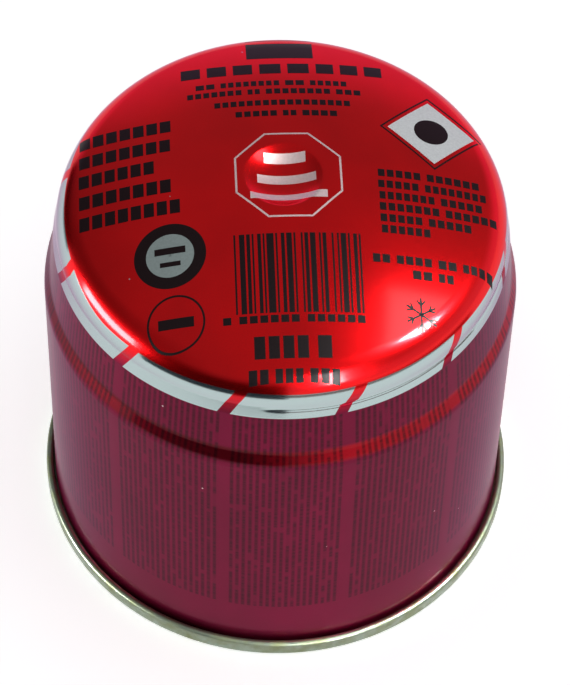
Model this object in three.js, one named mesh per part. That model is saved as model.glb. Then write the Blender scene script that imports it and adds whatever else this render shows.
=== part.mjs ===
// Pierceable butane canister: a drawn steel can with a crowned top, closed by a seamed base end.
// It is sealed, so it is one solid of revolution. Millimetres, +Z up, origin under the seam's middle.

import * as THREE from 'three';

// Double seam at the foot
const seamRadius = 45;
const seamHeight = 3.2;
const seamEdgeRadius = 0.6;
const creviceWidth = 0.3;
const creviceDepth = 1.0;

// Base end, set up inside the seam
const sheetThickness = 0.3;
const baseRecess = 4.6;
const baseDraft = 5;
const baseCornerRadius = 1.4;
const baseArch = 5.5;

// Straight wall, and the step that necks the can in
const wallRadius = 43.25;
const wallTop = 59.2;
const stepAngle = 20;
const stepOuterBend = 6;
const stepSlopeLength = 1.6;
const stepInnerBend = 4;

// Shoulder above the step, and the ridge under the rounded edge
const shoulderDraft = 6;
const shoulderHeight = 9;
const ridgeAngle = 13;
const ridgeHeight = 2.6;

// Rounded edge, crown, and the dimple where the canister is pierced
const edgeRadius = 7;
const edgeStartAngle = -5;
const crownRise = 6.5;
const dimpleRadius = 7.5;
const dimpleDepth = 2.2;
const dimpleRimRadius = 1.2;

// Facets round the axis, and the largest turn of one facet along an arc
const roundSegments = 72;
const edgeFacetAngle = 11;
const bendFacetAngle = 8;
const crownFacetAngle = 3;
const dimpleFacetAngle = 7;

const radians = THREE.MathUtils.degToRad;

// Points of an arc in the (radius, height) plane, from one angle to the other, both ends included
function arc(centreRadius, centreHeight, radius, fromAngle, toAngle, facetAngle) {
  const steps = Math.max(2, Math.ceil(Math.abs(toAngle - fromAngle) / facetAngle));
  const points = [];
  for (let i = 0; i <= steps; i += 1) {
    const angle = radians(fromAngle + (toAngle - fromAngle) * i / steps);
    points.push(new THREE.Vector2(
      centreRadius + radius * Math.cos(angle),
      centreHeight + radius * Math.sin(angle)));
  }
  return points;
}

// Base end: a shallow arch from the axis to a rounded corner, then the wall that runs down to the seam
function baseProfile() {
  const seamInnerRadius = wallRadius - 2 * sheetThickness;
  const draft = radians(baseDraft);
  const footInner = seamInnerRadius + seamEdgeRadius;
  const cornerCentreHeight = baseRecess - baseCornerRadius;
  const chuckRadius = seamInnerRadius - (cornerCentreHeight - seamEdgeRadius) * Math.tan(draft);
  const cornerCentreRadius = chuckRadius - baseCornerRadius;
  const archRadius = (cornerCentreRadius ** 2 + baseArch ** 2) / (2 * baseArch);
  const archSpan = THREE.MathUtils.radToDeg(Math.asin(cornerCentreRadius / archRadius));
  const archCentreHeight = baseRecess + baseArch - archRadius;
  const arch = arc(0, archCentreHeight, archRadius, 90, 90 - archSpan, archSpan / 7);
  arch[0].x = 0;
  return [
    ...arch,
    ...arc(cornerCentreRadius, cornerCentreHeight, baseCornerRadius, 60, 0, 30),
    ...arc(footInner, seamEdgeRadius, seamEdgeRadius, 180, 270, 30),
  ];
}

// Seam: a flat foot, a rounded outside, a rounded lip, and the narrow crevice between lip and wall
function seamProfile() {
  const outerEdge = seamRadius - seamEdgeRadius;
  const lipInner = wallRadius + creviceWidth;
  const lipRadius = (seamRadius - lipInner) / 2;
  return [
    ...arc(outerEdge, seamEdgeRadius, seamEdgeRadius, 270, 360, 30),
    ...arc(lipInner + lipRadius, seamHeight - lipRadius, lipRadius, 0, 180, 30),
    new THREE.Vector2(lipInner, seamHeight - creviceDepth - creviceWidth),
    new THREE.Vector2(wallRadius, seamHeight - creviceDepth - creviceWidth),
  ];
}

// Neck: the wall bends in to a short slope and back to the drafted shoulder, and ends in the ridge
function neckProfile() {
  const slope = radians(stepAngle);
  const outerBend = arc(wallRadius - stepOuterBend, wallTop, stepOuterBend, 0, stepAngle, bendFacetAngle);
  const slopeStart = outerBend.at(-1);
  const slopeEnd = new THREE.Vector2(
    slopeStart.x - stepSlopeLength * Math.sin(slope),
    slopeStart.y + stepSlopeLength * Math.cos(slope));
  const innerBend = arc(
    slopeEnd.x + stepInnerBend * Math.cos(slope),
    slopeEnd.y + stepInnerBend * Math.sin(slope),
    stepInnerBend, 180 + stepAngle, 180 + shoulderDraft, bendFacetAngle);
  const shoulderStart = innerBend.at(-1);
  const shoulderEnd = new THREE.Vector2(
    shoulderStart.x - shoulderHeight * Math.tan(radians(shoulderDraft)),
    shoulderStart.y + shoulderHeight);
  const ridgeEnd = new THREE.Vector2(
    shoulderEnd.x - ridgeHeight * Math.tan(radians(ridgeAngle)),
    shoulderEnd.y + ridgeHeight);
  return [...outerBend, ...innerBend, shoulderEnd, ridgeEnd];
}

// Crown: the rounded edge starts on the ridge, runs tangent into a sphere, and ends in the dimple
function crownProfile(ridgeEnd) {
  const start = radians(edgeStartAngle);
  const edgeCentre = new THREE.Vector2(
    ridgeEnd.x - edgeRadius * Math.cos(start),
    ridgeEnd.y - edgeRadius * Math.sin(start));
  const crownRadius = (edgeCentre.x ** 2 + crownRise ** 2 + 2 * crownRise * edgeRadius) / (2 * crownRise);
  const crownCentreHeight = edgeCentre.y + edgeRadius + crownRise - crownRadius;
  const crownAngle = THREE.MathUtils.radToDeg(
    Math.atan2(edgeCentre.y - crownCentreHeight, edgeCentre.x));

  // The dimple is a sphere's cap seen from outside, and its rim is an arc tangent to cap and crown
  const capRadius = (dimpleRadius ** 2 + dimpleDepth ** 2) / (2 * dimpleDepth);
  const capCentreHeight = crownCentreHeight + crownRadius - dimpleDepth + capRadius;
  const rimToCap = capRadius + dimpleRimRadius;
  const rimToCrown = crownRadius - dimpleRimRadius;
  const centresApart = capCentreHeight - crownCentreHeight;
  const rimCentreHeight = crownCentreHeight
    + (centresApart ** 2 + rimToCrown ** 2 - rimToCap ** 2) / (2 * centresApart);
  const rimCentreRadius = Math.sqrt(rimToCrown ** 2 - (rimCentreHeight - crownCentreHeight) ** 2);
  const rimOuterAngle = THREE.MathUtils.radToDeg(
    Math.atan2(rimCentreHeight - crownCentreHeight, rimCentreRadius));
  const rimInnerAngle = THREE.MathUtils.radToDeg(
    Math.atan2(capCentreHeight - rimCentreHeight, -rimCentreRadius));
  const cap = arc(0, capCentreHeight, capRadius, rimInnerAngle - 180, -90, dimpleFacetAngle);
  cap.at(-1).x = 0;
  return [
    ...arc(edgeCentre.x, edgeCentre.y, edgeRadius, edgeStartAngle, crownAngle, edgeFacetAngle),
    ...arc(0, crownCentreHeight, crownRadius, crownAngle, rimOuterAngle, crownFacetAngle).slice(1),
    ...arc(rimCentreRadius, rimCentreHeight, dimpleRimRadius, rimOuterAngle, rimInnerAngle,
      edgeFacetAngle).slice(1),
    ...cap.slice(1),
  ];
}

// Red translucent lacquer over tinplate
const redLacquer = new THREE.MeshStandardMaterial({ color: 0x9c1420, roughness: 0.28, metalness: 0.65 });

const neck = neckProfile();
const profile = [...baseProfile(), ...seamProfile(), ...neck, ...crownProfile(neck.at(-1)).slice(1)];
const canisterGeometry = new THREE.LatheGeometry(profile, roundSegments);
canisterGeometry.rotateX(Math.PI / 2);

const canister = new THREE.Mesh(canisterGeometry, redLacquer);
canister.name = 'canister';

const model = new THREE.Group();
model.add(canister);

export default model;
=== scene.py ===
"""Finished looks of a pierceable fuel canister, laid out as an add-on and run as a script.

The shell is turned from the can's profile by Geometry Nodes. The print on the crown is laid on that
shell by Geometry Nodes too, and the print of the wall and the bare band are masks in the lacquer's
material. Lengths are metres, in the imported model's frame: +Z up, the viewer on the -Y side.
"""

import math

import bpy
from mathutils import Matrix, Vector


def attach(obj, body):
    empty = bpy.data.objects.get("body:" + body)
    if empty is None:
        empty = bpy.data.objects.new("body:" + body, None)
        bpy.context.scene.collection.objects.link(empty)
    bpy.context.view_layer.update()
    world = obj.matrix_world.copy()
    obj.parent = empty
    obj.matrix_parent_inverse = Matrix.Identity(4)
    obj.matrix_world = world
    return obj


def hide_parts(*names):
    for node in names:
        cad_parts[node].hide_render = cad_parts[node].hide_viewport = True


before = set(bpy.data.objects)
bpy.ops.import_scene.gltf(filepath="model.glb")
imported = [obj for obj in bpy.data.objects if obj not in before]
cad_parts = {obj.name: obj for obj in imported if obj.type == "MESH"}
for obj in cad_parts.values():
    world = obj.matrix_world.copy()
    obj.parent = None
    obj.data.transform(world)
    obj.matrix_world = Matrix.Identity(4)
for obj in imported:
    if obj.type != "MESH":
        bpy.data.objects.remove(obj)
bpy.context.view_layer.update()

BODY = "root"
NODE = "canister"
MM = 0.001
MATH = "ShaderNodeMath"
RAMP = "ShaderNodeMapRange"
MIX = "ShaderNodeMix"

bl_info = {
    "name": "Fuel canister looks",
    "version": (1, 0, 0),
    "blender": (4, 5, 0),
    "location": "3D View > Sidebar > Canister",
    "description": "Builds the finished canister and its studio round the packed model",
    "category": "Object",
}


def length(name, description, millimetres, **more):
    """A length property, with its default given in millimetres."""
    return bpy.props.FloatProperty(
        name=name, description=description, default=millimetres * MM,
        unit="LENGTH", subtype="DISTANCE", precision=5, **more)


def angle(name, description, degrees):
    """An angle property, with its default given in degrees."""
    return bpy.props.FloatProperty(
        name=name, description=description, default=math.radians(degrees),
        unit="ROTATION", subtype="ANGLE")


def linear(hex_colour):
    """An sRGB hex colour as linear red, green, blue and alpha."""
    channels = [int(hex_colour[i:i + 2], 16) / 255 for i in (1, 3, 5)]
    return tuple(c / 12.92 if c <= 0.04045 else ((c + 0.055) / 1.055) ** 2.4 for c in channels) + (1.0,)


def colour(name, description, hex_colour):
    """A colour property, with its default given as an sRGB hex colour."""
    return bpy.props.FloatVectorProperty(
        name=name, description=description, size=4, subtype="COLOR",
        min=0.0, max=1.0, default=linear(hex_colour))


def number(name, description, value, **more):
    """A plain number property."""
    return bpy.props.FloatProperty(name=name, description=description, default=value, **more)


class CanisterShape(bpy.types.PropertyGroup):
    """Sizes of the can's section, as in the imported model, the crown lower by an ink's thickness."""
    seam_radius: length("Seam radius", "Outside of the double seam", 45)
    seam_height: length("Seam height", "Height of the double seam", 3.2)
    seam_edge: length("Seam edge radius", "Rounding of the seam's foot", 0.6)
    crevice_width: length("Crevice width", "Gap between the seam's lip and the wall", 0.3)
    crevice_depth: length("Crevice depth", "Depth of the straight part of that gap", 1.0)
    sheet: length("Sheet thickness", "Thickness of the tinplate", 0.3)
    base_recess: length("Base recess", "Height of the base end's edge above the foot", 4.6)
    base_draft: angle("Base draft", "Lean of the base end's wall", 5)
    base_corner: length("Base corner radius", "Rounding between the base end and its wall", 1.4)
    base_arch: length("Base arch", "Rise of the base end to its middle", 5.5)
    wall_radius: length("Wall radius", "Outside of the straight wall", 43.25)
    wall_top: length("Wall top", "Height where the wall turns in to the step", 59.2)
    step_angle: angle("Step angle", "Steepest lean of the step", 20)
    step_outer_bend: length("Step outer bend", "Bend from the wall into the step", 6)
    step_slope: length("Step slope", "Straight stretch of the step", 1.6)
    step_inner_bend: length("Step inner bend", "Bend from the step into the shoulder", 4)
    shoulder_draft: angle("Shoulder draft", "Lean of the shoulder", 6)
    shoulder_height: length("Shoulder height", "Height of the shoulder", 9)
    ridge_angle: angle("Ridge angle", "Lean of the ridge over the shoulder", 13)
    ridge_height: length("Ridge height", "Height of the ridge", 2.6)
    edge_radius: length("Edge radius", "Rounded edge of the crown", 7)
    edge_start: angle("Edge start", "Angle at which the rounded edge starts", -5)
    crown_rise: length("Crown rise", "Rise of the crown over the rounded edge", 6.48)
    dimple_radius: length("Dimple radius", "Radius of the piercing dimple", 7.5)
    dimple_depth: length("Dimple depth", "Depth of the piercing dimple", 2.2)
    dimple_rim: length("Dimple rim radius", "Rounding of the dimple's rim", 1.2)
    crease_height: length("Crease height", "Height of the rolled crease in the band", 74.7)
    crease_depth: length("Crease depth", "Depth of the rolled crease", 0.13)
    crease_width: length("Crease width", "Half width of the rolled crease", 0.3)
    crease_from: angle("Crease start", "Direction in which the crease starts", -92)
    crease_turn: angle("Crease turn", "How far the crease runs round the can", 190)
    segments: bpy.props.IntProperty(
        name="Segments", description="Facets round the axis", default=256, min=16)
    facet: angle("Facet", "Largest turn of one facet along a bend", 3)


class CanisterPrint(bpy.types.PropertyGroup):
    """Places and sizes of what is printed on the can, and of what is left bare."""
    layout_turn: angle("Layout turn", "Turn of the crown's print about the axis", 4)
    lift: length("Ink lift", "Height of the ink over the lacquer", 0.015)
    band_low: length("Band foot", "Height of the bare band's lower edge", 72.7)
    band_high: length("Band top", "Height of the bare band's upper edge", 78.4)
    band_raise: length("Band raise", "Rise of the bare band's upper edge on the left side", 2.4)
    bridges: bpy.props.IntProperty(
        name="Bridges", description="Red bridges across the bare band", default=12, min=1)
    bridge_width: length("Bridge width", "Width of a red bridge", 2.45)
    bridge_foot: angle("Bridge foot", "Direction of one bridge at the band's foot", -42.8)
    bridge_slant: angle("Bridge slant", "Turn of a bridge over the band's height", 4.2)
    bridge_jog: angle("Bridge jog", "Sideways jog of a bridge under the crease", 1.2)
    strip_width: length("Strip width", "Plain strip between two printed panels", 2.15)
    strip_turn: angle("Strip turn", "Turn of the plain strips from the bridges above them", 0.6)
    line_pitch: length("Line pitch", "Pitch of the fine print's lines", 1.15)
    line_width: length("Line width", "Width of one line of fine print", 0.62)
    panel_foot: length("Panel foot", "Height of the printed panels' lower edge", 14.2)


class CanisterFinish(bpy.types.PropertyGroup):
    """Colours of the lacquer, the metal and the inks, and the painted shade and reflections on the wall and
    the step.
    """
    lacquer: colour("Lacquer", "Red lacquer seen over bright tinplate", "#F0050B")
    # Wall lacquer: the wall's own red lacquer, darker and more purple than the crown's as a painted shade
    # and a painted bluish reflection
    wall_lacquer_and_painted_shade: colour("Wall lacquer", "Red lacquer on the drawn wall", "#6E052D")
    # Step colours: painted reflections that stand for the dark room and the light the step mirrors, not
    # lacquer of another thickness
    painted_dark_step_reflection: colour("Step lacquer", "Lacquer drawn thick and dark on the step", "#560304")
    painted_bright_step_reflection: colour("Step lacquer, right", "Brighter red of the step on the right side", "#A00C14")
    edge_tint: colour("Edge tint", "Lacquered metal seen at a grazing angle", "#C8A4C0")
    tinplate: colour("Tinplate", "Bare bright tinplate", "#B2C4C2")
    seam_metal: colour("Seam metal", "Handled tinplate of the seam", "#8B9789")
    tarnish: colour("Tarnish", "Yellow-brown tarnish on the seam", "#72774F")
    dark_ink: colour("Dark ink", "Black printing ink", "#180609")
    pale_ink: colour("Pale ink", "Pale printing ink", "#D9C4C2")
    badge_grey: colour("Badge grey", "Grey face of the round badge", "#8E9A97")
    label_white: colour("Label white", "Field of the diamond", "#E2E8E4")


class CanisterStudio(bpy.types.PropertyGroup):
    """The camera of the photograph, and the light."""
    image_height: bpy.props.IntProperty(
        name="Image height", description="Photograph's height in pixels", default=685)
    focal_pixels: number("Focal length", "Focal length in the photograph's pixels", 3398.7)
    elevation: angle("Elevation", "Camera's elevation", 53.907)
    roll: angle("Roll", "Camera's roll", 1.756)
    distance: length("Distance", "Camera's distance from its aim", 638.96)
    aim_height: length("Aim height", "Height on the axis that the camera is set from", 40)
    aim_right: length("Aim right", "Aim point's offset to the right in the picture", -1.167)
    aim_up: length("Aim up", "Aim point's offset up in the picture", 0.766)
    floor_size: length("Floor size", "Side of the floor", 6000)
    floor_colour: colour("Floor colour", "Pale floor", "#F4F4F2")
    world_low: colour("Low sky", "World's colour near the horizon", "#DDDDF0")
    world_back: colour("Horizon behind", "Colour of the sky low down behind the object", "#E6A4E4")
    world_high: colour("High sky", "World's colour overhead", "#959699")
    world_strength: number("World strength", "Strength of the world", 1.0, min=0.0)
    floor_glow: number("Floor glow", "Lift of the floor to white for camera and mirror rays", 0.55, min=0.0)
    dark_card: colour("Dark card", "Dark room beyond the table, front left", "#141C26")
    dim_card: colour("Dim card", "Dim room beyond the table, front right", "#8C7272")


# Helpers

def add(tree, kind, inputs=(), operation="", **settings):
    """Adds one node: its settings, then its inputs, in order or by name.

    An input is a value, a socket, or a node, which stands for its first output.
    """
    node = tree.nodes.new(kind)
    if operation:
        node.operation = operation
    for name, value in settings.items():
        setattr(node, name, value)
    for key, value in inputs.items() if isinstance(inputs, dict) else enumerate(inputs):
        if isinstance(value, bpy.types.Node):
            value = next(output for output in value.outputs if output.enabled)
        if isinstance(value, bpy.types.NodeSocket):
            tree.links.new(value, node.inputs[key])
        else:
            node.inputs[key].default_value = value
    return node


def new_material(name):
    """A material with an empty node tree."""
    material = bpy.data.materials.new(name)
    material.use_nodes = True
    material.node_tree.nodes.clear()
    return material, material.node_tree


def place_in_mm(tree):
    """Object coordinates in millimetres, for patterns that are sized in them."""
    spot = add(tree, "ShaderNodeTexCoord").outputs["Object"]
    return add(tree, "ShaderNodeVectorMath", {0: spot, "Scale": 1 / MM}, "SCALE")


def arc(centre, radius, start, end, facet):
    """Points of an arc in the (radius, height) plane, both ends included; angles in radians."""
    steps = max(2, math.ceil(abs(end - start) / facet))
    turns = [start + (end - start) * i / steps for i in range(steps + 1)]
    return [(centre[0] + radius * math.cos(t), centre[1] + radius * math.sin(t)) for t in turns]


def make_object(name, vertices, edges, faces):
    """A mesh object in the scene, at the origin."""
    mesh = bpy.data.meshes.new(name)
    mesh.from_pydata(vertices, edges, faces)
    piece = bpy.data.objects.new(name, mesh)
    bpy.context.scene.collection.objects.link(piece)
    return piece


def run_nodes(piece, tree, values):
    """Puts a Geometry Nodes tree on an object, sets its inputs, and keeps the result as plain mesh."""
    modifier = piece.modifiers.new(tree.name, "NODES")
    modifier.node_group = tree
    for socket in tree.interface.items_tree:
        if socket.item_type == "SOCKET" and socket.in_out == "INPUT" and socket.name in values:
            modifier[socket.identifier] = values[socket.name]
    bpy.context.view_layer.update()
    graph = bpy.context.evaluated_depsgraph_get()
    mesh = bpy.data.meshes.new_from_object(
        piece.evaluated_get(graph), preserve_all_data_layers=True, depsgraph=graph)
    piece.modifiers.remove(modifier)
    mesh.name = piece.name
    piece.data = mesh
    if not mesh.polygons:
        raise RuntimeError(f"{piece.name}: its nodes gave no faces")


def new_tree(name, inputs):
    """A Geometry Nodes tree with a geometry in and out, and named inputs as (name, socket type)."""
    tree = bpy.data.node_groups.new(name, "GeometryNodeTree")
    tree.interface.new_socket("Geometry", in_out="INPUT", socket_type="NodeSocketGeometry")
    for socket_name, socket_type in inputs:
        tree.interface.new_socket(socket_name, in_out="INPUT", socket_type=socket_type)
    tree.interface.new_socket("Geometry", in_out="OUTPUT", socket_type="NodeSocketGeometry")
    return tree, tree.nodes.new("NodeGroupInput").outputs


# Section of the can

def base_points(s):
    """Base end and the inside of the seam: arch, corner, wall, and the foot's inner rounding."""
    inner = s.wall_radius - 2 * s.sheet
    corner_height = s.base_recess - s.base_corner
    corner_radius = inner - (corner_height - s.seam_edge) * math.tan(s.base_draft) - s.base_corner
    arch_radius = (corner_radius ** 2 + s.base_arch ** 2) / (2 * s.base_arch)
    arch_span = math.asin(corner_radius / arch_radius)
    arch_centre = (0.0, s.base_recess + s.base_arch - arch_radius)
    right = math.pi / 2
    return (arc(arch_centre, arch_radius, right, right - arch_span, arch_span / 16)
            + arc((corner_radius, corner_height), s.base_corner, math.radians(75), 0, 4 * s.facet)
            + arc((inner + s.seam_edge, s.seam_edge), s.seam_edge, math.pi, 1.5 * math.pi, 4 * s.facet))


def seam_points(s):
    """Outside of the seam, its rolled lip, and the crevice down to the wall."""
    lip_inner = s.wall_radius + s.crevice_width
    lip = (s.seam_radius - lip_inner) / 2
    crevice_floor = s.seam_height - s.crevice_depth - s.crevice_width
    return (arc((s.seam_radius - s.seam_edge, s.seam_edge), s.seam_edge,
                -math.pi / 2, 0, 4 * s.facet)
            + arc((lip_inner + lip, s.seam_height - lip), lip, 0, math.pi, 4 * s.facet)
            + [(lip_inner, crevice_floor), (s.wall_radius, crevice_floor)])


def neck_points(s):
    """Wall top, step, shoulder and ridge."""
    wall_bend = arc((s.wall_radius - s.step_outer_bend, s.wall_top), s.step_outer_bend,
                    0, s.step_angle, s.facet)
    slope_end = (wall_bend[-1][0] - s.step_slope * math.sin(s.step_angle),
                 wall_bend[-1][1] + s.step_slope * math.cos(s.step_angle))
    bend_centre = (slope_end[0] + s.step_inner_bend * math.cos(s.step_angle),
                   slope_end[1] + s.step_inner_bend * math.sin(s.step_angle))
    inner_bend = arc(bend_centre, s.step_inner_bend,
                     math.pi + s.step_angle, math.pi + s.shoulder_draft, s.facet)
    points = wall_bend + inner_bend
    for height, lean in ((s.shoulder_height, s.shoulder_draft), (s.ridge_height, s.ridge_angle)):
        foot = points[-1]
        steps = max(2, round(height / (0.2 * MM)))
        for i in range(1, steps + 1):
            rise = height * i / steps
            points.append((foot[0] - rise * math.tan(lean), foot[1] + rise))
    return points


def crown_points(s, ridge_end):
    """Rounded edge, crown, dimple rim and dimple, down to the axis."""
    edge_centre = (ridge_end[0] - s.edge_radius * math.cos(s.edge_start),
                   ridge_end[1] - s.edge_radius * math.sin(s.edge_start))
    crown_radius = (edge_centre[0] ** 2 + s.crown_rise ** 2
                    + 2 * s.crown_rise * s.edge_radius) / (2 * s.crown_rise)
    crown_centre = edge_centre[1] + s.edge_radius + s.crown_rise - crown_radius
    crown_start = math.atan2(edge_centre[1] - crown_centre, edge_centre[0])
    cap_radius = (s.dimple_radius ** 2 + s.dimple_depth ** 2) / (2 * s.dimple_depth)
    cap_centre = crown_centre + crown_radius - s.dimple_depth + cap_radius
    apart = cap_centre - crown_centre
    rim_height = (apart ** 2 + (crown_radius - s.dimple_rim) ** 2
                  - (cap_radius + s.dimple_rim) ** 2) / (2 * apart)
    rim_radius = math.sqrt((crown_radius - s.dimple_rim) ** 2 - rim_height ** 2)
    rim_centre = (rim_radius, crown_centre + rim_height)
    rim_outer = math.atan2(rim_height, rim_radius)
    rim_inner = math.atan2(cap_centre - rim_centre[1], -rim_radius)
    return (arc(edge_centre, s.edge_radius, s.edge_start, crown_start, s.facet / 2)
            + arc((0.0, crown_centre), crown_radius, crown_start, rim_outer, s.facet / 4)[1:]
            + arc(rim_centre, s.dimple_rim, rim_outer, rim_inner, 3 * s.facet)[1:]
            + arc((0.0, cap_centre), cap_radius, rim_inner - math.pi, -math.pi / 2, s.facet)[1:])


def shell_points(s):
    """The whole section from the middle of the base end to the dimple, and how much of it is bare metal."""
    bare = base_points(s) + seam_points(s)
    foot = bare[-1][1]
    rows = 14
    wall = [(s.wall_radius, foot + 0.1 * MM)]
    wall += [(s.wall_radius, foot + (s.wall_top - foot) * i / rows) for i in range(1, rows)]
    neck = neck_points(s)
    points = bare + wall + neck + crown_points(s, neck[-1])[1:]
    points[0] = (0.0, points[0][1])
    points[-1] = (0.0, points[-1][1])
    return points, len(bare)


# Geometry Nodes

def turned_tree():
    """Turns a section about +Z: a grid whose rows sample the section and whose columns go round."""
    tree, given = new_tree("turned_shell", [
        ("Section", "NodeSocketObject"), ("Segments", "NodeSocketInt"),
        ("Bare Points", "NodeSocketInt"),
        ("Crease Height", "NodeSocketFloat"), ("Crease Depth", "NodeSocketFloat"),
        ("Crease Width", "NodeSocketFloat"), ("Crease Start", "NodeSocketFloat"),
        ("Crease Turn", "NodeSocketFloat"),
        ("Lacquer", "NodeSocketMaterial"), ("Metal", "NodeSocketMaterial")])
    section = add(tree, "GeometryNodeObjectInfo", [given["Section"]]).outputs["Geometry"]
    count = add(tree, "GeometryNodeAttributeDomainSize", [section], component="MESH").outputs[0]
    columns = add(tree, MATH, [given["Segments"], 1.0], "ADD")
    grid = add(tree, "GeometryNodeMeshGrid", {"Vertices X": columns, "Vertices Y": count}).outputs[0]

    index = add(tree, MATH, [add(tree, "GeometryNodeInputIndex"), 0.5], "ADD")
    column = add(tree, MATH, [add(tree, MATH, [index, count], "DIVIDE")], "FLOOR")
    before = add(tree, MATH, [column, count], "MULTIPLY")
    row = add(tree, MATH, [add(tree, MATH, [index, before], "SUBTRACT")], "FLOOR")
    position = add(tree, "GeometryNodeInputPosition")
    sample = add(tree, "GeometryNodeSampleIndex",
                 {"Geometry": section, "Value": position, "Index": row}, data_type="FLOAT_VECTOR")
    place = add(tree, "ShaderNodeSeparateXYZ", [sample]).outputs

    turn = add(tree, MATH, [column, given["Segments"]], "DIVIDE")
    turn = add(tree, MATH, [turn, math.tau], "MULTIPLY")

    # The rolled crease: a groove across the band that starts sharply and fades out on its far side
    from_start = add(tree, MATH, [turn, given["Crease Start"]], "SUBTRACT")
    from_start = add(tree, MATH, [from_start, math.tau, 0.0], "WRAP")
    rise = add(tree, RAMP, [from_start, 0.0, math.radians(2.5)])
    fade_start = add(tree, MATH, [given["Crease Turn"], math.radians(30)], "SUBTRACT")
    fade = add(tree, RAMP, [from_start, fade_start, given["Crease Turn"], 1.0, 0.0])
    off = add(tree, MATH, [place[2], given["Crease Height"]], "SUBTRACT")
    off = add(tree, MATH, [off, given["Crease Width"]], "DIVIDE")
    squared = add(tree, MATH, [off, off], "MULTIPLY")
    bell = add(tree, MATH, [add(tree, MATH, [squared, -1.0], "MULTIPLY")], "EXPONENT")
    depth = add(tree, MATH, [bell, given["Crease Depth"]], "MULTIPLY")
    depth = add(tree, MATH, [depth, add(tree, MATH, [rise, fade], "MULTIPLY")], "MULTIPLY")
    radius = add(tree, MATH, [place[0], depth], "SUBTRACT")

    x = add(tree, MATH, [radius, add(tree, MATH, [turn], "COSINE")], "MULTIPLY")
    y = add(tree, MATH, [radius, add(tree, MATH, [turn], "SINE")], "MULTIPLY")
    turned = add(tree, "ShaderNodeCombineXYZ", [x, y, place[2]])

    marked = add(tree, "GeometryNodeStoreNamedAttribute",
                 {"Geometry": grid, "Name": "row", "Value": row}, data_type="FLOAT", domain="POINT")
    placed = add(tree, "GeometryNodeSetPosition", {"Geometry": marked, "Position": turned})
    merged = add(tree, "GeometryNodeMergeByDistance", {"Geometry": placed, "Distance": 0.002 * MM})
    smooth = add(tree, "GeometryNodeSetShadeSmooth", {"Geometry": merged})
    lacquered = add(tree, "GeometryNodeSetMaterial", {"Geometry": smooth, "Material": given["Lacquer"]})
    row_back = add(tree, "GeometryNodeInputNamedAttribute", {"Name": "row"}, data_type="FLOAT")
    bare_rows = add(tree, MATH, [row_back, given["Bare Points"]], "LESS_THAN")
    finished = add(tree, "GeometryNodeSetMaterial",
                   {"Geometry": lacquered, "Selection": bare_rows, "Material": given["Metal"]})
    realized = add(tree, "GeometryNodeRealizeInstances", [finished])
    add(tree, "NodeGroupOutput", [realized])
    return tree


def print_tree():
    """Lays flat marks on the shell: bars on points and loose patches, dropped straight down on it."""
    tree, given = new_tree("laid_print", [
        ("Shell", "NodeSocketObject"), ("Patches", "NodeSocketObject"), ("Turn", "NodeSocketFloat"),
        ("Lift", "NodeSocketFloat"), ("Drop From", "NodeSocketFloat"), ("Ink", "NodeSocketMaterial"),
        ("Columns", "NodeSocketInt"), ("Rows", "NodeSocketInt")])
    bar = add(tree, "GeometryNodeMeshGrid", {
        "Size X": 1.0, "Size Y": 1.0, "Vertices X": given["Columns"],
        "Vertices Y": given["Rows"]}).outputs[0]
    size = add(tree, "GeometryNodeInputNamedAttribute", {"Name": "bar_size"}, data_type="FLOAT_VECTOR")
    tilt = add(tree, "GeometryNodeInputNamedAttribute", {"Name": "bar_turn"}, data_type="FLOAT_VECTOR")
    points = add(tree, "GeometryNodeMeshToPoints", [given["Geometry"]])
    bars = add(tree, "GeometryNodeInstanceOnPoints",
               {"Points": points, "Instance": bar, "Scale": size,
                "Rotation": add(tree, "FunctionNodeEulerToRotation", [tilt])})
    patches = add(tree, "GeometryNodeObjectInfo", [given["Patches"]]).outputs["Geometry"]
    joined = add(tree, "GeometryNodeJoinGeometry")
    tree.links.new(add(tree, "GeometryNodeRealizeInstances", [bars]).outputs[0], joined.inputs[0])
    tree.links.new(patches, joined.inputs[0])
    height = add(tree, "ShaderNodeCombineXYZ", {2: given["Drop From"]})
    spin = add(tree, "ShaderNodeCombineXYZ", {2: given["Turn"]})
    laid_out = add(tree, "GeometryNodeTransform",
                   {"Geometry": joined, "Translation": height, "Rotation": spin})
    shell = add(tree, "GeometryNodeObjectInfo", [given["Shell"]]).outputs["Geometry"]
    drop = add(tree, "GeometryNodeRaycast",
               {"Target Geometry": shell, "Ray Direction": (0, 0, -1), "Ray Length": 1.0})
    outward = add(tree, "ShaderNodeVectorMath",
                  {0: drop.outputs["Hit Normal"], "Scale": given["Lift"]}, "SCALE")
    landed = add(tree, "ShaderNodeVectorMath",
                 [drop.outputs["Hit Position"], outward], "ADD")
    placed = add(tree, "GeometryNodeSetPosition", {"Geometry": laid_out, "Position": landed})
    smooth = add(tree, "GeometryNodeSetShadeSmooth", {"Geometry": placed})
    inked = add(tree, "GeometryNodeSetMaterial", {"Geometry": smooth, "Material": given["Ink"]})
    add(tree, "NodeGroupOutput", [add(tree, "GeometryNodeRealizeInstances", [inked])])
    return tree


# Print on the crown, in millimetres in its own layout: x right, y away from the viewer

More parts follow.
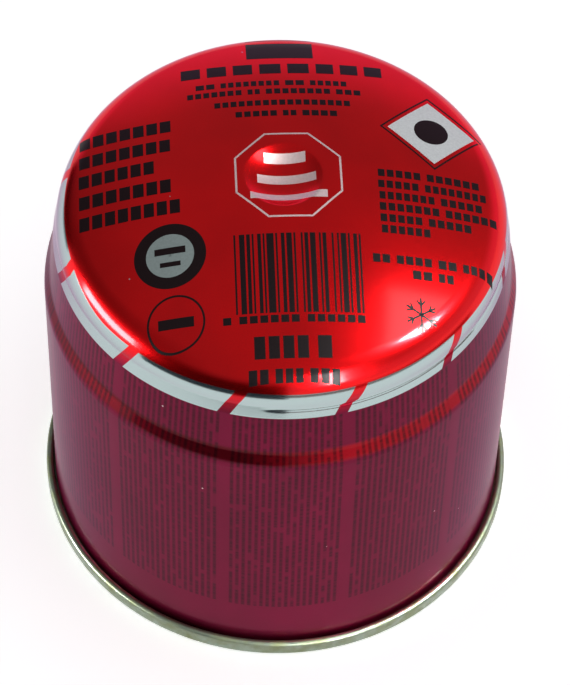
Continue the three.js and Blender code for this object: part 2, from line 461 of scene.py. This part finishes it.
OCTAGON = (0.9, 0.1)
DIAMOND = (27.2, 12.4)
BADGE = (-20.4, -15.1)
RING_MARK = (-19.7, -27.8)
SNOWFLAKE = (22.9, -26.9)
THIN_LINE = 0.36
LEFT_ROWS = [
    (-36.0, 13.8, 16.4), (-36.1, 9.0, 16.3), (-36.2, 4.3, 13.4), (-36.2, -0.5, 16.3),
    (-36.2, -5.2, 17.8)]
RIGHT_ROWS = [
    (16.8, 0.9, (7.6, 9.4)), (16.7, -1.6, (7.2, 11.0)), (16.8, -4.1, (9.8, 7.4)),
    (16.7, -6.5, (10.6, 9.2)), (16.7, -8.9, (7.4, 7.6)), (16.8, -11.2, (8.6,))]
WEIGHT_ROWS = [(14.9, -17.1, (3.0, 6.2, 3.2, 5.4)), (21.8, -19.7, (3.4, 2.6))]
ADDRESS_ROWS = [
    (-14.8, 23.3, (3.4, 10.6, 3.4, 6.6)), (-16.4, 20.9, (9.8, 2.2, 11.6, 4.4)),
    (-11.6, 17.7, (24.4,)), (-7.9, 14.8, (7.4, 2.4, 6.2))]
BARCODE_BARS = (1, 3, 2, 1, 2, 1, 4, 1, 2, 3, 1, 1, 2, 3, 1, 2, 1, 1, 3, 1, 2, 1)
BARCODE_GAPS = (2, 1, 1, 2, 1, 1, 1, 2, 1, 1, 3, 1, 1, 2, 1, 3, 2, 1, 1, 2, 1)


def word_bars(left, y, widths, height, gap, letter=0.0):
    """One row of words from its left end: a bar for each, or a row of letter-sized blocks."""
    bars = []
    for width in widths:
        if letter:
            bars += block_bars(left, y, width, height, letter, 0.28 * letter)
        else:
            bars.append((left + width / 2, y, width, height, 0.0))
        left += width + gap
    return bars


def block_bars(left, y, row_length, height, pitch, gap):
    """One row of equal blocks for a line of bold print."""
    count = max(1, round(row_length / pitch))
    width = (row_length + gap) / count - gap
    return word_bars(left, y, [width] * count, height, gap)


def dark_bars():
    """Every dark bar of the crown's print, as (x, y, width, height, turn in degrees)."""
    bars = [(0.8, 34.4, 12.2, 6.6, 0.0)]
    bars += word_bars(-17.4, 27.7, (13.0, 9.0, 12.0), 3.0, 1.3, 4.4)
    for left, y, widths in ADDRESS_ROWS:
        bars += word_bars(left, y, widths, 1.4, 1.1, 1.4)
    for left, y, row_length in LEFT_ROWS:
        bars += block_bars(left, y, row_length, 2.9, 2.35, 0.5)
    for left, y, widths in RIGHT_ROWS + WEIGHT_ROWS:
        bars += word_bars(left, y, widths, 1.6, 1.2, 1.45)
    bars += word_bars(-11.6, -28.6, (1.4, 10.4, 10.0), 1.3, 1.4, 1.6)
    bars += block_bars(-6.4, -33.5, 9.4, 3.8, 2.4, 0.6)
    bars += block_bars(4.6, -33.5, 2.4, 3.8, 2.4, 0.6)
    bars += word_bars(-7.5, -38.0, (3.4, 4.8, 5.2), 1.9, 1.2, 1.7)
    bars += [(BADGE[0], BADGE[1] + 0.9, 5.4, 1.3, 0.0), (BADGE[0], BADGE[1] - 1.7, 3.6, 0.9, 0.0)]
    bars.append((*RING_MARK, 6.2, 1.8, 0.0))
    return bars + snowflake_bars() + outline_bars(DIAMOND, 4, 9.1 / math.sqrt(2), 45, 0.3, 0.3)


def snowflake_bars():
    """A plain snowflake: three lines through the middle, and a pair of branches on each arm."""
    fork, branch = 1.6, 1.2
    bars = [(*SNOWFLAKE, 6.0, 0.42, 60.0 * arm + 30.0) for arm in range(3)]
    for arm in range(6):
        heading = math.radians(60 * arm + 30)
        for side in (-38, 38):
            turned = heading + math.radians(side)
            bars.append((SNOWFLAKE[0] + fork * math.cos(heading) + branch / 2 * math.cos(turned),
                         SNOWFLAKE[1] + fork * math.sin(heading) + branch / 2 * math.sin(turned),
                         branch, THIN_LINE, math.degrees(turned)))
    return bars


def outline_bars(centre, sides, across, first, width, overlap):
    """The outline of a regular shape: a bar for each side, set out from the centre by across."""
    bars = []
    side_length = 2 * across * math.tan(math.pi / sides) + overlap
    for side in range(sides):
        heading = math.radians(first + 360 / sides * side)
        bars.append((centre[0] + across * math.cos(heading), centre[1] + across * math.sin(heading),
                     side_length, width, math.degrees(heading) + 90))
    return bars


def barcode_bars():
    """A made-up barcode, its bars and gaps in whole modules."""
    left, middle_y, code_width, code_height = -9.3, -20.1, 22.2, 14.9
    bars = []
    module = code_width / (sum(BARCODE_BARS) + sum(BARCODE_GAPS))
    for bar, gap in zip(BARCODE_BARS, BARCODE_GAPS + (0,)):
        bars.append((left + bar * module / 2, middle_y, bar * module, code_height, 0.0))
        left += (bar + gap) * module
    return bars


def pale_bars():
    """Every pale bar of the crown's print."""
    bars = [(0.4, 4.4, 7.4, 1.9, 0.0), (0.6, 0.1, 10.4, 1.9, 0.0), (0.8, -4.4, 13.6, 1.6, 0.0)]
    return bars + outline_bars(OCTAGON, 8, 9.3, 0, THIN_LINE, 0.15)


def round_patch(centre, inner, outer, rings, steps):
    """Vertices and faces of a flat ring, or of a disc where the inner radius is 0, in metres."""
    vertices = []
    for i in range(rings + 1):
        radius = inner + (outer - inner) * i / rings
        for j in range(steps):
            turn = math.tau * j / steps
            vertices.append(((centre[0] + radius * math.cos(turn)) * MM,
                             (centre[1] + radius * math.sin(turn)) * MM, 0.0))
    faces = []
    for i in range(rings):
        for j in range(steps):
            k = (j + 1) % steps
            faces.append((i * steps + j, (i + 1) * steps + j, (i + 1) * steps + k, i * steps + k))
    return vertices, faces


def lay_print(name, bars, rings, ink, lift, columns=12, rows=5):
    """Makes one piece of print: bars by instancing, rings as patches, both laid on the shell."""
    settings = bpy.context.scene.canister_print
    points = make_object(name, [(x * MM, y * MM, 0.0) for x, y, *_ in bars], [], [])
    size = points.data.attributes.new("bar_size", "FLOAT_VECTOR", "POINT")
    size.data.foreach_set("vector", [v for _, _, w, h, _ in bars for v in (w * MM, h * MM, 1.0)])
    turn = points.data.attributes.new("bar_turn", "FLOAT_VECTOR", "POINT")
    turn.data.foreach_set("vector", [v for *_, t in bars for v in (0.0, 0.0, math.radians(t))])
    vertices, faces = [], []
    for centre, inner, outer in rings:
        more, more_faces = round_patch(centre, inner, outer, max(2, round((outer - inner) / 0.8)), 72)
        faces += [tuple(v + len(vertices) for v in face) for face in more_faces]
        vertices += more
    patches = make_object(name + "_patches", vertices, [], faces)
    run_nodes(points, print_tree(), {
        "Shell": bpy.data.objects["can_shell"], "Patches": patches, "Turn": settings.layout_turn,
        "Lift": lift, "Drop From": 0.2, "Ink": ink, "Columns": columns, "Rows": rows})
    bpy.data.objects.remove(patches)
    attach(points, BODY)


# Materials

def lacquered_tinplate():
    """Tinplate printed flat with translucent red lacquer, then drawn and varnished.

    The eye sees a metal under a clear red film: deep red where it mirrors dark, bright red and pink
    where it mirrors light, with a sharp varnish gloss over it. The band was left unprinted.
    """
    finish = bpy.context.scene.canister_finish
    p = bpy.context.scene.canister_print
    s = bpy.context.scene.canister_shape
    material, tree = new_material("lacquered_tinplate")
    in_mm = place_in_mm(tree)
    x, y, z = add(tree, "ShaderNodeSeparateXYZ", [in_mm]).outputs
    heading = add(tree, MATH, [add(tree, MATH, [y, x], "ARCTAN2")], "DEGREES")

    # Bare band: between two heights, the upper one raised on the left, but for the slanted red bridges
    low, high = p.band_low / MM, p.band_high / MM
    blur = 0.06
    above = add(tree, RAMP, [z, low - blur, low + blur])
    raised = add(tree, RAMP, [x, -30.0, -41.5, 0.0, p.band_raise / MM],
                 interpolation_type="SMOOTHSTEP")
    upper = add(tree, MATH, [z, raised], "SUBTRACT")
    below = add(tree, RAMP, [upper, high - blur, high + blur, 1.0, 0.0])
    band = add(tree, MATH, [above, below], "MULTIPLY")
    pitch = 360 / p.bridges
    along = add(tree, RAMP, [z, low, high, 0.0, math.degrees(p.bridge_slant)])
    crease = s.crease_height / MM
    start, turn = math.degrees(s.crease_from), math.degrees(s.crease_turn)
    after_start = add(tree, MATH, [heading, start], "GREATER_THAN")
    before_end = add(tree, MATH, [heading, start + turn], "LESS_THAN")
    creased = add(tree, MATH, [after_start, before_end], "MULTIPLY")
    jog = add(tree, RAMP, [z, crease - 0.2, crease + 0.2, -math.degrees(p.bridge_jog), 0.0])
    jog = add(tree, MATH, [jog, creased], "MULTIPLY")
    from_foot = add(tree, MATH, [heading, math.degrees(p.bridge_foot)], "SUBTRACT")
    shifted = add(tree, MATH, [from_foot, along], "SUBTRACT")
    shifted = add(tree, MATH, [shifted, jog], "SUBTRACT")
    around = add(tree, MATH, [shifted, pitch / 2, -pitch / 2], "WRAP")
    degree = math.radians(1) * s.wall_radius / MM
    around = add(tree, MATH, [around], "ABSOLUTE")
    off_bridge = add(tree, MATH, [around, degree], "MULTIPLY")
    half = p.bridge_width / MM / 2
    clear = add(tree, RAMP, [off_bridge, half - blur, half + blur])
    bare = add(tree, MATH, [band, clear], "MULTIPLY")

    # Wall: panels of fine print in upright lines, with plain strips under the bridges. Two noises
    # along each line break it into letters and words
    from_strip = add(tree, MATH, [from_foot, math.degrees(p.strip_turn)], "SUBTRACT")
    strip = add(tree, MATH, [from_strip, pitch, 0.0], "WRAP")
    across = add(tree, MATH, [strip, degree], "MULTIPLY")
    half_strip = p.strip_width / MM / 2
    panel_width = pitch * degree
    past_left = add(tree, MATH, [across, half_strip], "GREATER_THAN")
    short_of_right = add(tree, MATH, [across, panel_width - half_strip], "LESS_THAN")
    line_at = add(tree, MATH, [across, half_strip], "SUBTRACT")
    line_at = add(tree, MATH, [line_at, p.line_pitch / MM], "DIVIDE")
    line = add(tree, MATH, [line_at], "FLOOR")
    in_line = add(tree, MATH, [line_at, line], "SUBTRACT")
    in_line = add(tree, MATH, [add(tree, MATH, [in_line, 0.5], "SUBTRACT")], "ABSOLUTE")
    half_line = p.line_width / p.line_pitch / 2
    line_blur = 0.12
    on_line = add(tree, RAMP, [in_line, half_line - line_blur, half_line + line_blur, 1.0, 0.0])
    panel = add(tree, MATH, [add(tree, MATH, [from_strip, pitch], "DIVIDE")], "FLOOR")
    seed = add(tree, MATH, [panel, 31.7, line], "MULTIPLY_ADD")
    texts = []
    for apart, per_mm, detail in ((7.31, 1.5, 1.0), (3.17, 0.33, 0.0)):
        lane = add(tree, MATH, [seed, apart], "MULTIPLY")
        down = add(tree, MATH, [z, per_mm], "MULTIPLY")
        texts.append(add(tree, "ShaderNodeTexNoise", {
            "Vector": add(tree, "ShaderNodeCombineXYZ", [lane, down]),
            "Scale": 1.0, "Detail": detail}))
    inked = add(tree, RAMP, [texts[0], 0.35, 0.6, 0.65, 1.0])
    word = add(tree, RAMP, [texts[1], 0.28, 0.36, 0.25, 1.0])
    foot = add(tree, RAMP, [z, p.panel_foot / MM, p.panel_foot / MM + 0.2])
    under_band = add(tree, RAMP, [z, low - 0.3, low, 1.0, 0.0])
    printed = past_left
    for mask in (short_of_right, on_line, inked, word, foot, under_band):
        printed = add(tree, MATH, [printed, mask], "MULTIPLY")

    # Colour: the crown's red, the wall's purple red (its lacquer darkened as painted shade and tinted as a
    # painted bluish reflection), a cloudy variation, then ink and bare metal
    clouds = add(tree, "ShaderNodeTexNoise", {"Vector": in_mm, "Scale": 0.07, "Detail": 3.0})
    tone = add(tree, RAMP, [clouds, 0.3, 0.7, 0.9, 1.1])
    on_crown = add(tree, RAMP, [z, low, high])
    red = add(tree, MIX, {0: on_crown, 6: finish.wall_lacquer_and_painted_shade, 7: finish.lacquer}, data_type="RGBA")
    red = add(tree, "ShaderNodeVectorMath", {0: red, "Scale": tone}, "SCALE")

    # Step: painted reflections from just over the wall's top, a dark red on the left where the step mirrors
    # the dark room, and a brighter red on the right where it mirrors light
    step_low, step_high = s.wall_top / MM + 0.9, s.wall_top / MM + 4.6
    over_foot = add(tree, RAMP, [z, step_low, step_low + 1.2],
                    interpolation_type="SMOOTHSTEP")
    under_top = add(tree, RAMP, [z, step_high - 0.6, step_high + 0.6, 1.0, 0.0],
                    interpolation_type="SMOOTHSTEP")
    on_step = add(tree, MATH, [over_foot, under_top], "MULTIPLY")
    on_step = add(tree, MATH, [on_step, 0.85], "MULTIPLY")
    # Share of the painted bright reflection, rising from the left of the step to its right
    bright_side_share = add(tree, RAMP, [x, -6.0, 14.0])
    step = add(tree, MIX, {0: bright_side_share, 6: finish.painted_dark_step_reflection, 7: finish.painted_bright_step_reflection}, data_type="RGBA")
    red = add(tree, MIX, {0: on_step, 6: red, 7: step}, data_type="RGBA")
    ink_share = add(tree, MATH, [printed, 0.66], "MULTIPLY")
    with_ink = add(tree, MIX, {0: ink_share, 6: red, 7: finish.dark_ink}, data_type="RGBA")

    # Nicks through the lacquer: pale specks up to 0.3 mm across, where the middle of a 6 mm cell
    # lies in the surface, and only for half of the cells
    cell = 6.0
    cells = add(tree, "ShaderNodeTexVoronoi", {"Vector": in_mm, "Scale": 1 / cell}).outputs
    chance = add(tree, "ShaderNodeSeparateXYZ", [cells["Color"]]).outputs[0]
    near = add(tree, MATH, [cells["Distance"], 0.026], "LESS_THAN")
    kept = add(tree, MATH, [chance, 0.5], "GREATER_THAN")
    nick = add(tree, MATH, [near, kept], "MULTIPLY")
    with_ink = add(tree, MIX, {0: nick, 6: with_ink, 7: finish.pale_ink}, data_type="RGBA")
    base = add(tree, MIX, {0: bare, 6: with_ink, 7: finish.tinplate}, data_type="RGBA")

    # Gloss: the drawn wall is duller than the crown, and the bare band is the brightest
    roughness = add(tree, RAMP, [z, low - 2, high, 0.34, 0.2])
    roughness = add(tree, MIX, {0: bare, 2: roughness, 3: 0.13})
    varnish = add(tree, RAMP, [z, low, high, 0.2, 0.34])

    # Faint orange peel of the stoved varnish, about a millimetre across
    peel = add(tree, "ShaderNodeTexNoise", {"Vector": in_mm, "Scale": 0.9, "Detail": 2.0})
    bump = add(tree, "ShaderNodeBump", {"Strength": 0.05, "Distance": 0.02 * MM, "Height": peel})
    shader = add(tree, "ShaderNodeBsdfPrincipled", {
        "Base Color": base, "Metallic": 0.95, "Roughness": roughness, "Normal": bump,
        "Specular Tint": finish.edge_tint, "Coat Weight": varnish, "Coat Roughness": 0.13,
        "Coat IOR": 1.5})
    add(tree, "ShaderNodeOutputMaterial", {"Surface": shader})
    return material


def tarnished_tinplate():
    """Bare tinplate of the base end and the rolled seam, handled and a little tarnished.

    The eye sees a grey-green metal, dull and mottled with yellow-brown.
    """
    finish = bpy.context.scene.canister_finish
    material, tree = new_material("tarnished_tinplate")
    in_mm = place_in_mm(tree)
    mottle = add(tree, "ShaderNodeTexNoise",
                 {"Vector": in_mm, "Scale": 0.35, "Detail": 5.0, "Roughness": 0.6})
    share = add(tree, RAMP, [mottle, 0.35, 0.75])
    base = add(tree, MIX, {0: share, 6: finish.seam_metal, 7: finish.tarnish}, data_type="RGBA")
    roughness = add(tree, RAMP, [mottle, 0.3, 0.7, 0.28, 0.5])
    bump = add(tree, "ShaderNodeBump", {"Strength": 0.15, "Distance": 0.1 * MM, "Height": mottle})
    shader = add(tree, "ShaderNodeBsdfPrincipled", {
        "Base Color": base, "Metallic": 0.9, "Roughness": roughness, "Normal": bump})
    add(tree, "ShaderNodeOutputMaterial", {"Surface": shader})
    return material


def printing_ink(name, ink_colour, metallic):
    """Opaque printing ink with a thinly laid clear varnish: dull in itself, with a faint gloss on top."""
    material, tree = new_material(name)
    in_mm = place_in_mm(tree)
    grain = add(tree, "ShaderNodeTexNoise", {"Vector": in_mm, "Scale": 2.2, "Detail": 2.0})
    tone = add(tree, RAMP, [grain, 0.3, 0.7, 0.94, 1.06])
    base = add(tree, "ShaderNodeVectorMath", {0: tuple(ink_colour)[:3], "Scale": tone}, "SCALE")
    shader = add(tree, "ShaderNodeBsdfPrincipled", {
        "Base Color": base, "Metallic": metallic, "Roughness": 0.4, "Specular IOR Level": 0.1,
        "Coat Weight": 0.06, "Coat Roughness": 0.13, "Coat IOR": 1.5})
    add(tree, "ShaderNodeOutputMaterial", {"Surface": shader})
    return material


# Studio, in metres and degrees. Lamps: name, heading, climb, distance, width, height, watts, and
# whether only reflections show it. Cards: name, first and last heading, distance, where it fades in
# above the floor, and its top

LAMP_AIM = 0.08
LAMPS = [
    ("right_core", -11, 47, 0.9, 0.13, 0.24, 24.0, True),
    ("right_panel", 2, 59, 1.0, 0.36, 0.26, 1.6, True),
    ("front_strip", -66, 24, 0.9, 0.11, 0.5, 10.5, True),
    ("left_low", -166, -1, 0.45, 0.24, 0.11, 3.4, True),
    ("overhead", -60, 82, 1.5, 1.6, 1.6, 9.0, False)]
CARDS = [
    ("dark_card", -145, -86, 0.18, -0.02, 0.165),
    ("dark_card_left", 138, 166, 0.2, 0.04, 0.14),
    ("dim_card", -86, -5, 0.22, -0.02, 0.045)]
CARD_FADE = 0.02


# Operators

class CANISTER_OT_shell(bpy.types.Operator):
    """Turns the can's shell from its section and finishes it in lacquer and bare metal"""
    bl_idname = "canister.shell"
    bl_label = "Can shell"

    def execute(self, context):
        s = context.scene.canister_shape
        points, bare = shell_points(s)
        edges = [(i, i + 1) for i in range(len(points) - 1)]
        section = make_object("can_section", [(r, 0.0, z) for r, z in points], edges, [])
        shell = make_object("can_shell", [(0.0, 0.0, 0.0)], [], [])
        run_nodes(shell, turned_tree(), {
            "Section": section, "Segments": s.segments, "Bare Points": bare - 1,
            "Crease Height": s.crease_height, "Crease Depth": s.crease_depth,
            "Crease Width": s.crease_width, "Crease Start": s.crease_from,
            "Crease Turn": s.crease_turn,
            "Lacquer": lacquered_tinplate(), "Metal": tarnished_tinplate()})
        bpy.data.objects.remove(section)
        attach(shell, BODY)
        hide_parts(NODE)
        return {"FINISHED"}


class CANISTER_OT_print(bpy.types.Operator):
    """Lays the dark and the pale print on the crown"""
    bl_idname = "canister.print"
    bl_label = "Crown print"

    def execute(self, context):
        finish = context.scene.canister_finish
        lift = context.scene.canister_print.lift
        lay_print("crown_print_pale", pale_bars(), [],
                  printing_ink("pale_printing_ink", finish.pale_ink, 0.5), lift, 48, 8)
        side = 7.9 * math.sqrt(2)
        lay_print("diamond_field", [(*DIAMOND, side, side, 45.0)], [],
                  printing_ink("white_printing_ink", finish.label_white, 0.0), lift, 24, 24)
        black = printing_ink("black_printing_ink", finish.dark_ink, 0.0)
        middle = [(*BADGE, 0.4, 0.4, 0.0)]
        face_radius, badge_radius = 4.2, 6.3
        lay_print("badge_ground", middle, [(BADGE, face_radius, badge_radius)], black, lift)
        lay_print("badge_face", middle, [(BADGE, 0.0, face_radius)],
                  printing_ink("grey_printing_ink", finish.badge_grey, 0.3), lift)
        dark_rings = [(RING_MARK, 4.7, 5.05), (DIAMOND, 0.0, 3.1)]
        lay_print("crown_print_dark", dark_bars(), dark_rings, black, 2 * lift)
        lay_print("crown_barcode", barcode_bars(), [], black, 2 * lift, 4, 30)
        return {"FINISHED"}


class CANISTER_OT_stage(bpy.types.Operator):
    """Sets up the pale floor, the soft light and the photograph's camera"""
    bl_idname = "canister.stage"
    bl_label = "Studio"

    def execute(self, context):
        studio = context.scene.canister_studio
        self.make_floor(studio)
        self.make_world(context.scene, studio)
        self.make_lamps()
        for name, start, end, away, foot, top in CARDS:
            shade = studio.dim_card if name == "dim_card" else studio.dark_card
            self.make_card(name, start, end, away, foot, top, shade)
        self.make_camera(context.scene, studio)
        context.scene.view_settings.view_transform = "Standard"
        return {"FINISHED"}

    def make_floor(self, studio):
        """A wide pale floor that keeps the object's shadow and is lifted to near white for the camera."""
        half = studio.floor_size / 2
        corners = [(-half, -half, 0.0), (half, -half, 0.0), (half, half, 0.0), (-half, half, 0.0)]
        floor = make_object("floor", corners, [], [(0, 1, 2, 3)])
        material, tree = new_material("pale_floor")
        diffuse = add(tree, "ShaderNodeBsdfDiffuse", {"Color": studio.floor_colour})
        path = add(tree, "ShaderNodeLightPath").outputs
        seen = add(tree, MATH, [path["Is Camera Ray"], path["Is Glossy Ray"]], "MAXIMUM")
        seen = add(tree, MATH, [seen, path["Is Transmission Ray"]], "MAXIMUM")
        lift = add(tree, MATH, [seen, studio.floor_glow], "MULTIPLY")
        glow = add(tree, "ShaderNodeEmission", {"Color": (1, 1, 1, 1), "Strength": lift})
        both = add(tree, "ShaderNodeAddShader", [diffuse, glow])
        add(tree, "ShaderNodeOutputMaterial", {"Surface": both})
        floor.data.materials.append(material)

    def make_world(self, scene, studio):
        """A plain sky: pale low down and pink behind the object, darker overhead and on the left."""
        world = bpy.data.worlds.new("studio")
        world.use_nodes = True
        tree = world.node_tree
        tree.nodes.clear()
        way = add(tree, "ShaderNodeTexCoord").outputs["Generated"]
        across, along, up = add(tree, "ShaderNodeSeparateXYZ", [way]).outputs
        side = add(tree, RAMP, [across, -0.85, -0.4, 0.35, 1.0])
        earlier = add(tree, RAMP, [side, 0.35, 1.0, 0.35, 0.0])
        lifted = add(tree, MATH, [up, earlier])
        climb = add(tree, RAMP, [lifted, 0.1, 0.5],
                    interpolation_type="SMOOTHSTEP")
        behind = add(tree, RAMP, [along, 0.15, 0.7])
        low = add(tree, MIX, {0: behind, 6: studio.world_low, 7: studio.world_back}, data_type="RGBA")
        high = add(tree, "ShaderNodeVectorMath", {0: studio.world_high[:3], "Scale": side}, "SCALE")
        sky = add(tree, MIX, {0: climb, 6: low, 7: high}, data_type="RGBA")
        back = add(tree, "ShaderNodeBackground", {"Color": sky, "Strength": studio.world_strength})
        add(tree, "ShaderNodeOutputWorld", {"Surface": back})
        scene.world = world

    def make_lamps(self):
        """Soft boxes aimed at the can: four seen only in its reflections, and one that lights it."""
        for name, heading, climb, away, width, height, power, mirrored in LAMPS:
            light = bpy.data.lights.new(name, "AREA")
            light.shape = "RECTANGLE"
            light.size = width
            light.size_y = height
            light.energy = power
            lamp = bpy.data.objects.new(name, light)
            bpy.context.scene.collection.objects.link(lamp)
            a, e = math.radians(heading), math.radians(climb)
            way = Vector((math.cos(e) * math.cos(a), math.cos(e) * math.sin(a), math.sin(e)))
            lamp.location = way * away + Vector((0, 0, LAMP_AIM))
            lamp.rotation_euler = way.to_track_quat("Z", "Y").to_euler()
            lamp.visible_glossy = mirrored
            lamp.visible_diffuse = not mirrored

    def card_material(self, name, shade, foot, top):
        """A plain dim surface that fades out towards the card's lower and upper edge."""
        material, tree = new_material(name)
        spot = add(tree, "ShaderNodeTexCoord").outputs["Object"]
        up = add(tree, "ShaderNodeSeparateXYZ", [spot]).outputs[2]
        below = add(tree, RAMP, [up, foot, foot + CARD_FADE, 1.0, 0.0])
        above = add(tree, RAMP, [up, 0.6 * top, top],
                    interpolation_type="SMOOTHSTEP")
        fade = add(tree, MATH, [below, above], "MAXIMUM")
        glow = add(tree, "ShaderNodeEmission", {"Color": shade})
        surface = add(tree, "ShaderNodeMixShader",
                      [fade, glow, add(tree, "ShaderNodeBsdfTransparent")])
        add(tree, "ShaderNodeOutputMaterial", {"Surface": surface})
        return material

    def make_card(self, name, start, end, away, foot, top, shade):
        """A curved card on the floor, seen only in the can's reflections."""
        steps = 24
        turns = [math.radians(start + (end - start) * i / steps) for i in range(steps + 1)]
        rims = [(away * math.cos(t), away * math.sin(t)) for t in turns]
        vertices = [(x, y, z) for x, y in rims for z in (0.0, top)]
        faces = [(2 * i, 2 * i + 2, 2 * i + 3, 2 * i + 1) for i in range(steps)]
        card = make_object(name, vertices, [], faces)
        card.data.materials.append(self.card_material(name, shade, foot, top))
        card.visible_camera = False
        card.visible_diffuse = False
        card.visible_transmission = False
        card.visible_shadow = False

    def make_camera(self, scene, studio):
        """The photograph's camera, from its elevation, roll, distance and offsets."""
        forward = Vector((0, math.cos(studio.elevation), -math.sin(studio.elevation)))
        level_right = Vector((1, 0, 0))
        level_up = Vector((0, math.sin(studio.elevation), math.cos(studio.elevation)))
        right = math.cos(studio.roll) * level_right + math.sin(studio.roll) * level_up
        up = -math.sin(studio.roll) * level_right + math.cos(studio.roll) * level_up
        lens = bpy.data.cameras.new("photo_camera")
        lens.sensor_fit = "AUTO"
        lens.lens = studio.focal_pixels / studio.image_height * lens.sensor_width
        lens.clip_start = 0.05
        lens.clip_end = 20.0
        camera = bpy.data.objects.new("photo_camera", lens)
        scene.collection.objects.link(camera)
        camera.matrix_world = Matrix((
            (right.x, up.x, -forward.x, 0), (right.y, up.y, -forward.y, 0),
            (right.z, up.z, -forward.z, 0), (0, 0, 0, 1)))
        camera.location = (Vector((0, 0, studio.aim_height)) - forward * studio.distance
                           - right * studio.aim_right - up * studio.aim_up)
        scene.camera = camera


class CANISTER_PT_panel(bpy.types.Panel):
    """Sizes, print, colours and studio of the canister"""
    bl_idname = "CANISTER_PT_panel"
    bl_label = "Fuel canister"
    bl_space_type = "VIEW_3D"
    bl_region_type = "UI"
    bl_category = "Canister"

    def draw(self, context):
        layout = self.layout
        for operator in OPERATORS:
            layout.operator(operator.bl_idname)
        for group in (context.scene.canister_shape, context.scene.canister_print,
                      context.scene.canister_finish, context.scene.canister_studio):
            box = layout.box()
            for name in group.bl_rna.properties.keys():
                if name not in ("rna_type", "name"):
                    box.prop(group, name)


OPERATORS = (CANISTER_OT_shell, CANISTER_OT_print, CANISTER_OT_stage)
GROUPS = {
    "canister_shape": CanisterShape,
    "canister_print": CanisterPrint,
    "canister_finish": CanisterFinish,
    "canister_studio": CanisterStudio,
}


def register():
    """Registers the classes and hangs the settings on the scene."""
    for group in (*GROUPS.values(), *OPERATORS, CANISTER_PT_panel):
        bpy.utils.register_class(group)
    for name, group in GROUPS.items():
        setattr(bpy.types.Scene, name, bpy.props.PointerProperty(type=group))


def unregister():
    """Takes the settings off the scene and unregisters the classes."""
    for name in GROUPS:
        delattr(bpy.types.Scene, name)
    for group in reversed((*GROUPS.values(), *OPERATORS, CANISTER_PT_panel)):
        bpy.utils.unregister_class(group)


def main():
    """Builds every piece in order."""
    register()
    bpy.ops.canister.shell()
    bpy.ops.canister.print()
    bpy.ops.canister.stage()


if __name__ == "__main__":
    main()
